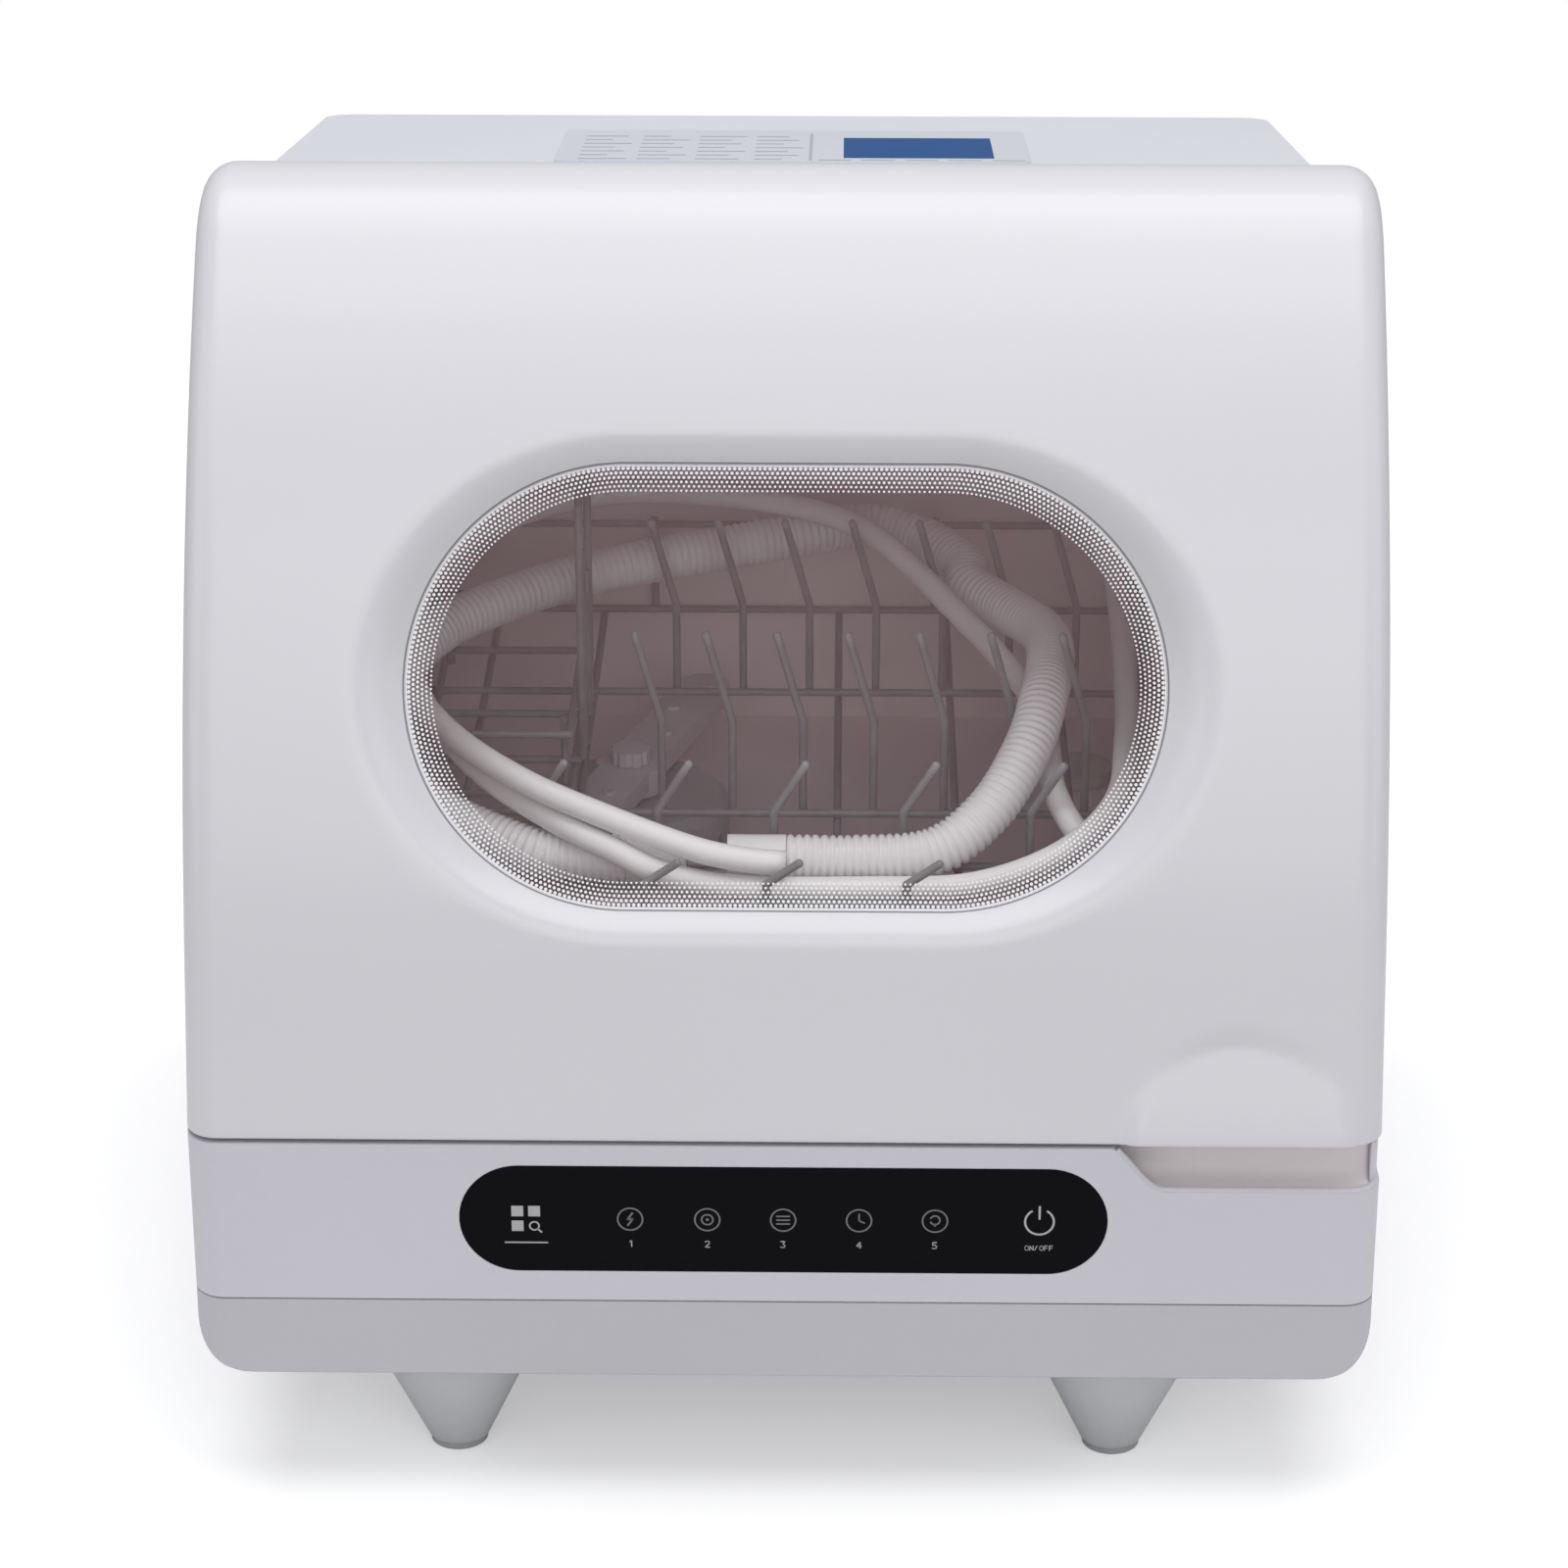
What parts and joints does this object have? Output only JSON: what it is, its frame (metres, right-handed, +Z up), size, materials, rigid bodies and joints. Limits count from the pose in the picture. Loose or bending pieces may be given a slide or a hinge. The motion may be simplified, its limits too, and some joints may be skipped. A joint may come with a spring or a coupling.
{
  "type": "countertop dishwasher",
  "caption": "Countertop dishwasher with a curved lift-up hood and oval window, touch panel, sliding wire dish rack with stored hoses, cone feet, tub, spray arm and pumps.",
  "frame": {"origin": "on the ground under the middle of the part's overall box", "axes": "+X to the part's right as seen from its front, +Y to its back, +Z up"},
  "size_m": [0.44, 0.415, 0.468],
  "materials": {
    "white_plastic": "satin",
    "gloss_white": "gloss",
    "grey_plastic": "satin",
    "dark_plastic": "matte",
    "light_plastic": "satin",
    "tub_plastic": "satin",
    "rubber": "matte",
    "black_gloss": "gloss",
    "board": "satin",
    "plate": "satin",
    "steel": "brushed",
    "glass": "gloss",
    "wire": "satin coated wire",
    "hose_grey": "satin",
    "tube_clear": "satin",
    "tube_white": "satin"
  },
  "bodies": {
    "cabinet": {"base_tray": "white_plastic", "foot_front_left": "grey_plastic", "foot_front_right": "grey_plastic", "foot_rear_left": "grey_plastic", "foot_rear_right": "grey_plastic", "foot_pads": "rubber", "lower_front_panel": "white_plastic", "touch_panel": "black_gloss", "touch_board": "board", "side_panel_left": "white_plastic", "side_panel_right": "white_plastic", "rear_panel": "white_plastic", "top_cover": "white_plastic", "top_plate": "plate", "tub": "tub_plastic", "tub_seal": "rubber", "rack_runners": "grey_plastic", "sump": "grey_plastic", "filter_dome": "grey_plastic", "wash_pump": "dark_plastic", "drain_pump": "dark_plastic", "flow_heater": "steel", "pump_hose": "rubber", "drain_pipe": "rubber", "inlet_valve": "light_plastic", "inlet_pipe": "tube_clear", "inlet_fitting": "grey_plastic", "drain_spigot": "grey_plastic", "power_board": "board", "cord_gland": "rubber", "fan_housing": "dark_plastic", "float_cup": "light_plastic", "hinge_bracket_left": "steel", "hinge_bracket_right": "steel", "hinge_dampers": "dark_plastic", "hinge_caps": "white_plastic", "door_switch": "dark_plastic", "casing_screws": "steel"},
    "hood": {"hood_shell": "gloss_white", "window_bezel": "gloss_white", "hood_liner": "tub_plastic", "window_glass": "glass", "glass_seal": "rubber", "hood_magnets": "steel"},
    "rack": {"rack_frame": "wire", "rear_tines": "wire", "middle_tines": "wire", "front_tines": "wire", "cutlery_section": "wire", "rack_glides": "grey_plastic", "drain_hose": "hose_grey", "hose_cuffs": "rubber", "water_tube": "tube_white"},
    "spray": {"spray_arm": "grey_plastic", "spray_nut": "grey_plastic"},
    "filter": {"filter_cup": "grey_plastic"},
    "wash_rotor": {"wash_impeller": "light_plastic"},
    "pump_rotor": {"drain_rotor": "light_plastic"},
    "fan": {"fan_rotor": "dark_plastic"},
    "float": {"float_disc": "light_plastic"}
  },
  "joints": [
    {"name": "door_hinge", "type": "hinge", "parent": "cabinet", "child": "hood", "pos_m": [0, -0.02614, 0.42005], "axis": [-1, 0, 0], "range_deg": [0, 80]},
    {"name": "rack_slide", "type": "slide", "parent": "cabinet", "child": "rack", "axis": [0, -1, 0], "range_m": [0, 0.18]},
    {"name": "spray_turn", "type": "hinge", "parent": "cabinet", "child": "spray", "pos_m": [-0.065, 0.02054, 0.2], "axis": [0, 0, 1], "continuous": true},
    {"name": "filter_twist", "type": "hinge", "parent": "cabinet", "child": "filter", "pos_m": [-0.065, 0.02054, 0.15], "axis": [0, 0, 1], "range_deg": [0, 60]},
    {"name": "wash_pump_turn", "type": "hinge", "parent": "cabinet", "child": "wash_rotor", "pos_m": [0.0063, 0.02054, 0.132], "axis": [1, 0, 0], "continuous": true},
    {"name": "drain_pump_turn", "type": "hinge", "parent": "cabinet", "child": "pump_rotor", "pos_m": [-0.1323, 0.02054, 0.132], "axis": [1, 0, 0], "continuous": true},
    {"name": "fan_turn", "type": "hinge", "parent": "cabinet", "child": "fan", "pos_m": [0.1, 0.17184, 0.345], "axis": [0, 1, 0], "continuous": true},
    {"name": "float_rise", "type": "slide", "parent": "cabinet", "child": "float", "axis": [0, 0, 1], "range_m": [0, 0.006]}
  ],
  "couplings": [
    {"joint": "rack_slide", "follows": "door_hinge", "m_per_rad": 0.12892}
  ]
}
